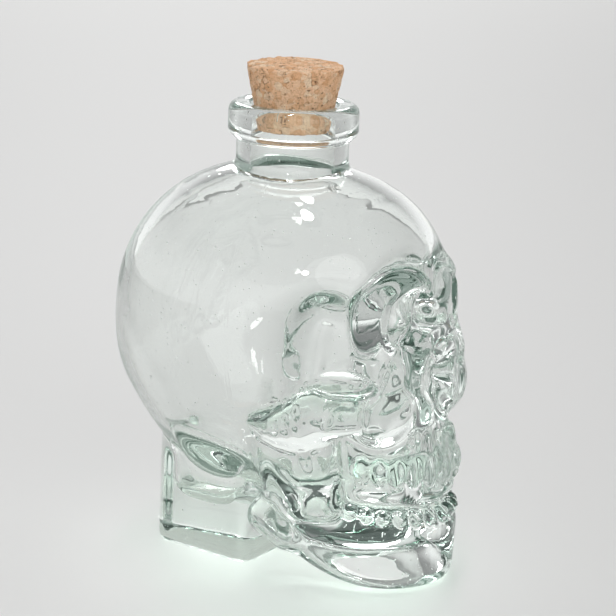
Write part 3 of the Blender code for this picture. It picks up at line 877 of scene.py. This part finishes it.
# %% [markdown]
# ## The cork
# Agglomerated cork is granules of bark glued and ground to a cone. Grinding leaves each granule a little
# higher or lower than the next, tears small pits between them, and crumbles the top edge. The cone is spun
# with close rows of faces, and each vertex is then pushed in, never out, by those three effects.

# %% Spin the cone
CORK_RADIUS = 12.0
CORK_LENGTH = (cork_high.z - cork_low.z) / MM
CORK_TAPER = math.radians(11.0)
CORK_EDGE = 0.6
cork_foot = cork_low.z / MM
low_radius = CORK_RADIUS - CORK_LENGTH * math.tan(CORK_TAPER)
low_edge = arc((low_radius - CORK_EDGE, cork_foot + CORK_EDGE), CORK_EDGE, 270, 360, 3)
high_edge = arc((CORK_RADIUS - CORK_EDGE, cork_foot + CORK_LENGTH - CORK_EDGE), CORK_EDGE, 0, 90, 4)
side = straight(low_edge[-1], high_edge[0], 56)
bottom, top = (0.0, cork_foot), (0.0, cork_foot + CORK_LENGTH)
profile = [bottom, *straight(bottom, low_edge[0], 16), *low_edge, *side, *high_edge]
cork = turned([*profile, *straight(high_edge[-1], top, 36), top], "cork")
print("cork", len(cork.data.vertices), "vertices,", round(CORK_LENGTH, 1), "mm long")

# %% [markdown]
# ## Granules, pits and a crumbled edge
# A granule is a cell of a Voronoi pattern bent by noise. Each has a height of its own, the glue between two
# granules lies lower, noise above a threshold tears pits, and the top edge crumbles within reach of it.

# %% Granules, pits and a crumbled edge
GRANULE = 1.7
GRANULE_BEND = 0.35
STEP_HEIGHT = 0.10
GLUE_DEPTH = 0.16
GLUE_WIDTH = 0.22
TORN_ABOVE = 0.28
TORN_RANGE = 0.4
PIT_DEPTH = 0.55
CRUMBLE = 0.8
CRUMBLE_REACH = 1.6
CORK_STANDS = 9.5
TOP_EDGE = Vector((CORK_RADIUS, LIP_TOP + CORK_STANDS))


def at_radius(point):
    return math.hypot(point[0] - PLAN_ORIGIN[0], point[1] - PLAN_ORIGIN[1])


def worn(point):
    """How far the surface lies under the true cone at a point, in millimetres."""
    at = Vector(point) / GRANULE
    at += GRANULE_BEND * noise.noise_vector(at * 1.3)
    distances, seeds = noise.voronoi(at)
    step = STEP_HEIGHT * (0.5 + 0.5 * noise.noise(seeds[0] * 7.3))
    gap = GLUE_DEPTH * max(0.0, 1.0 - (distances[1] - distances[0]) / GLUE_WIDTH)
    torn = max(0.0, noise.noise(at * 0.9 + Vector((9, 4, 2))) - TORN_ABOVE) / TORN_RANGE
    tear = PIT_DEPTH * min(1.0, torn) * (0.5 + 0.5 * noise.noise(at * 3.1))
    to_edge = TOP_EDGE - Vector((at_radius(point), point[2]))
    rim = max(0.0, 1.0 - to_edge.length / CRUMBLE_REACH)
    crumbled = CRUMBLE * rim * max(0.0, 0.45 + noise.noise(at * 0.8 + Vector((1, 8, 5))))
    return step + gap + tear + crumbled


points = read_vectors(cork.data, "co") / MM
inward = read_vectors(cork.data, "normal")
depth = np.array([worn(p) for p in points])
cork.data.vertices.foreach_set("co", ((points - inward * depth[:, None]) * MM).ravel())
cork.data.update()
cork.data.shade_smooth()
print("worn by", depth.mean().round(2), "mm on average, at most", depth.max().round(2))
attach(cork, "cork")
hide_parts("cork_stopper")

# %% [markdown]
# ## Cork material
# The colour follows the same granules: each has its own tan, pale where it was cut across and reddish brown
# where bark shows. Dark glue lines run round some of them, and a finer grain lies over everything.

# %% Granule colours
granules, ins, outs = group_nodes(
    "cork_granules",
    [("Vector", "NodeSocketVector", None), ("Scale", "NodeSocketFloat", 600.0)],
    [("Color", "NodeSocketColor"), ("Height", "NodeSocketFloat")],
)
vector = ins.outputs["Vector"]
bent = add_noise(granules, vector, 700.0, 4.0, 0.6).outputs["Color"]
shift = granules.nodes.new("ShaderNodeVectorMath")
shift.operation = "MULTIPLY_ADD"
shift.inputs[1].default_value = (0.0024, 0.0024, 0.0016)
granules.links.new(bent, shift.inputs[0])
granules.links.new(vector, shift.inputs[2])
warped = shift.outputs["Vector"]
cells = add_voronoi(granules, warped, 1.0)
edges = add_voronoi(granules, warped, 1.0, "DISTANCE_TO_EDGE")
for node in (cells, edges):
    granules.links.new(ins.outputs["Scale"], node.inputs["Scale"])
own = granules.nodes.new("ShaderNodeSeparateColor")
granules.links.new(cells.outputs["Color"], own.inputs["Color"])
tan = add_ramp(granules, own.outputs["Red"], [
    (0.0, (0.80, 0.45, 0.24)),
    (0.3, (0.90, 0.57, 0.34)),
    (0.7, (0.94, 0.63, 0.41)),
    (1.0, (0.97, 0.76, 0.55)),
])
grain = add_noise(granules, warped, 2600.0, 4.0, 0.7).outputs["Fac"]
grained = add_ramp(granules, grain, [
    (0.32, (0.76, 0.64, 0.54)), (0.5, (0.99, 0.98, 0.97)), (0.75, (1.12, 1.13, 1.13)),
])
tan = add_mix(granules, 0.8, tan, grained, "MULTIPLY")
patchy = add_noise(granules, warped, 420.0, 2.0).outputs["Fac"]
line = add_math(granules, "MULTIPLY", fall(granules, edges.outputs["Distance"], 0.01, 0.09),
                add_math(granules, "SUBTRACT", 1.0, fall(granules, patchy, 0.50, 0.68)))
tan = add_mix(granules, line, tan, (0.34, 0.16, 0.07, 1.0))
veins = add_noise(granules, warped, 640.0, 3.0, 0.55, 0.8).outputs["Fac"]
veins = add_math(granules, "ABSOLUTE", add_math(granules, "SUBTRACT", veins, 0.5))
veins = add_math(granules, "MULTIPLY", fall(granules, veins, 0.004, 0.030), 0.6)
tan = add_mix(granules, veins, tan, (0.50, 0.25, 0.12, 1.0))
pits = add_group(granules, specks, warped, scale=950.0, size=0.34).outputs["Mask"]
tan = add_mix(granules, add_math(granules, "MULTIPLY", pits, 0.8), tan, (0.20, 0.09, 0.04, 1.0))
granules.links.new(tan, outs.inputs["Color"])
sunk = add_math(granules, "ADD", add_math(granules, "MULTIPLY", line, 0.6), pits)
height = add_math(granules, "SUBTRACT", add_math(granules, "MULTIPLY", grain, 0.7), sunk)
granules.links.new(height, outs.inputs["Height"])

# %% [markdown]
# ## Cork's surface
# Cork is dry and dull. One group gives the colour and the height of the same granules, so that dark pits are
# also deep ones.

# %% Cork material
GRAIN_HEIGHT = 0.00018
cork_material, tree, shader = new_material("agglomerated_cork")
place = tree.nodes.new("ShaderNodeTexCoord").outputs["Object"]
granular = add_group(tree, granules, place, scale=1.0 / (GRANULE * MM))
bump = tree.nodes.new("ShaderNodeBump")
bump.inputs["Distance"].default_value = GRAIN_HEIGHT
tree.links.new(granular.outputs["Height"], bump.inputs["Height"])
tree.links.new(bump.outputs["Normal"], shader.inputs["Normal"])
tree.links.new(granular.outputs["Color"], shader.inputs["Base Color"])
shader.inputs["Roughness"].default_value = 0.88
shader.inputs["Specular IOR Level"].default_value = 0.25
cork.data.materials.append(cork_material)
print("cork nodes", len(tree.nodes), "and", len(granules.nodes), "in its group")

# %% [markdown]
# ## Studio
# A pale floor runs far back. Glass has no colour of its own to light: it shows what stands round it, so the
# room has pale walls, for the light that comes through, and a dark ceiling, which draws the edges.

# %% Floor
FLOOR_HALF = 4.0
bm = bmesh.new()
bmesh.ops.create_grid(bm, x_segments=1, y_segments=1, size=FLOOR_HALF)
floor = object_from(bm, "floor")
floor_material, tree, shader = new_material("pale_floor")
shader.inputs["Base Color"].default_value = (0.74, 0.74, 0.73, 1.0)
shader.inputs["Roughness"].default_value = 0.6
floor.data.materials.append(floor_material)
print("floor", 2 * FLOOR_HALF, "m across")

# %% [markdown]
# ## The room
# The walls are a ramp by height: white low down, where light comes through the glass, and dark overhead.

# %% Room
world = bpy.data.worlds.new("room")
bpy.context.scene.world = world
world.use_nodes = True
tree = world.node_tree
background = tree.nodes["Background"]
around = tree.nodes.new("ShaderNodeTexCoord")
parts = tree.nodes.new("ShaderNodeSeparateXYZ")
tree.links.new(around.outputs["Generated"], parts.inputs["Vector"])
walls = add_ramp(tree, parts.outputs["Z"], [
    (0.0, (1.0, 1.0, 0.99)),
    (0.15, (1.0, 1.0, 1.0)),
    (0.50, (0.32, 0.32, 0.32)),
    (0.85, (0.20, 0.20, 0.205)),
])
tree.links.new(walls, background.inputs["Color"])
print("room nodes", len(tree.nodes))

# %% [markdown]
# ## Lamps
# Glass mirrors its lamps, so a lamp that should leave a highlight is an oval of that highlight's shape. The
# two narrow ones overhead leave the two bright spots on the cranium, and the small one beside the camera
# leaves a third. The large ones behind and in front are soft, and bring up the edges and the cork.

# %% Lamps
LAMPS_MEET = Vector((0.0, 0.0, 0.06))


def oval_lamp(name, place, wide, tall, watts):
    """A lamp that shines at the bottle, its width along the picture's width."""
    lamp = bpy.data.lights.new(name, "AREA")
    lamp.shape = "ELLIPSE"
    lamp.size = wide
    lamp.size_y = tall
    lamp.energy = watts
    obj = bpy.data.objects.new(name, lamp)
    bpy.context.scene.collection.objects.link(obj)
    back = (Vector(place) - LAMPS_MEET).normalized()
    across = aim.col[0].to_3d()
    up = back.cross(across).normalized()
    turn = Matrix((up.cross(back), up, back)).transposed().to_4x4()
    turn.translation = place
    obj.matrix_world = turn


oval_lamp("overhead_far", (0.150, 0.105, 0.990), 0.055, 0.17, 1.3)
oval_lamp("overhead_near", (-0.125, 0.005, 0.990), 0.055, 0.17, 1.3)
oval_lamp("beside_camera", (-0.777, -0.275, 0.503), 0.05, 0.07, 0.5)
oval_lamp("behind", (1.50, 0.90, 0.90), 0.80, 0.80, 10.0)
oval_lamp("fill", (-0.95, -0.95, 0.75), 1.0, 1.0, 3.0)
bpy.context.scene.view_settings.view_transform = "Standard"
print("lamps:", [light.name for light in bpy.data.lights])
